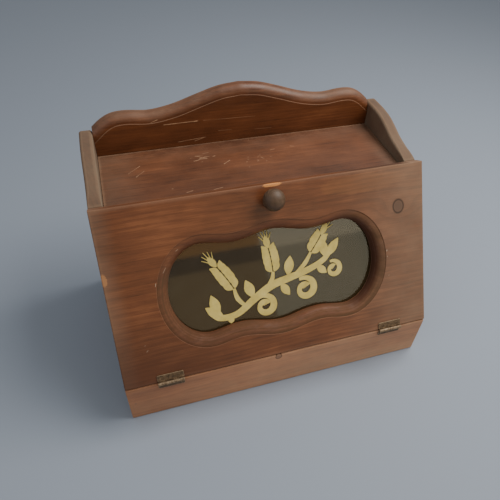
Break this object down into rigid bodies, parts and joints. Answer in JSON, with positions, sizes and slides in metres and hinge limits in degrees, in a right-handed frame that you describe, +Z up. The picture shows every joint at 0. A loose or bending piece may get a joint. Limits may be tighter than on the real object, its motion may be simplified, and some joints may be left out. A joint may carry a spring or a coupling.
{
  "type": "bread box",
  "caption": "Wooden countertop bread box with a sloping drop-front door, a wavy glazed window, a turned knob, butt hinges and a scalloped gallery shelf.",
  "frame": {"origin": "bottom centre of the closed box, on the surface it stands on", "axes": "+X to the right along the door's hinges, +Y to the back, +Z up; the front faces -Y"},
  "size_m": [0.406, 0.2567, 0.3165],
  "materials": {
    "stained_pine": "red-brown stained pine under a worn satin varnish",
    "inner_pine": "thinly stained pine, unvarnished",
    "back_ply": "bare thin plywood",
    "dark_wood": "turned hardwood, dark stain, satin",
    "window_glass": "clear window glass, a little dusty",
    "aged_brass": "tarnished brass plate",
    "steel": "plain steel wire and sheet",
    "magnet": "dark ferrite",
    "catch_plastic": "brown moulded plastic"
  },
  "bodies": {
    "case": {"back_panel": "back_ply", "base_rail": "stained_pine", "bottom_board": "inner_pine", "catch_housing": "catch_plastic", "catch_magnet": "magnet", "catch_pole_inner": "steel", "catch_pole_outer": "steel", "catch_screw_lower": "steel", "catch_screw_upper": "steel", "gallery_back": "stained_pine", "hinge_left_pin": "aged_brass", "hinge_left_rail_leaf": "aged_brass", "hinge_left_rail_screw_left": "aged_brass", "hinge_left_rail_screw_right": "aged_brass", "hinge_right_pin": "aged_brass", "hinge_right_rail_leaf": "aged_brass", "hinge_right_rail_screw_left": "aged_brass", "hinge_right_rail_screw_right": "aged_brass", "left_side": "stained_pine", "nail_left_bottom_front": "steel", "nail_left_bottom_rear": "steel", "nail_left_gallery": "steel", "nail_left_rail": "steel", "nail_left_shelf_front": "steel", "nail_left_shelf_rear": "steel", "nail_right_bottom_front": "steel", "nail_right_bottom_rear": "steel", "nail_right_gallery": "steel", "nail_right_rail": "steel", "nail_right_shelf_front": "steel", "nail_right_shelf_rear": "steel", "panel_nail_bottom_left": "steel", "panel_nail_bottom_right": "steel", "panel_nail_top_left": "steel", "panel_nail_top_right": "steel", "right_side": "stained_pine", "top_shelf": "stained_pine"},
    "door": {"brad_bottom_left": "steel", "brad_bottom_right": "steel", "brad_left": "steel", "brad_right": "steel", "brad_top_left": "steel", "brad_top_right": "steel", "door_panel": "stained_pine", "glass_strip_bottom": "inner_pine", "glass_strip_left": "inner_pine", "glass_strip_right": "inner_pine", "glass_strip_top": "inner_pine", "hinge_left_door_leaf": "aged_brass", "hinge_left_door_screw_left": "aged_brass", "hinge_left_door_screw_right": "aged_brass", "hinge_right_door_leaf": "aged_brass", "hinge_right_door_screw_left": "aged_brass", "hinge_right_door_screw_right": "aged_brass", "knob": "dark_wood", "knob_screw": "steel", "strike_plate": "steel", "strike_screw": "steel", "window_glass": "window_glass"}
  },
  "joints": [
    {"name": "door_hinge", "type": "hinge", "parent": "case", "child": "door", "pos_m": [0, -0.12615, 0.07067], "axis": [1, 0, 0], "range_deg": [0, 133.5]}
  ]
}
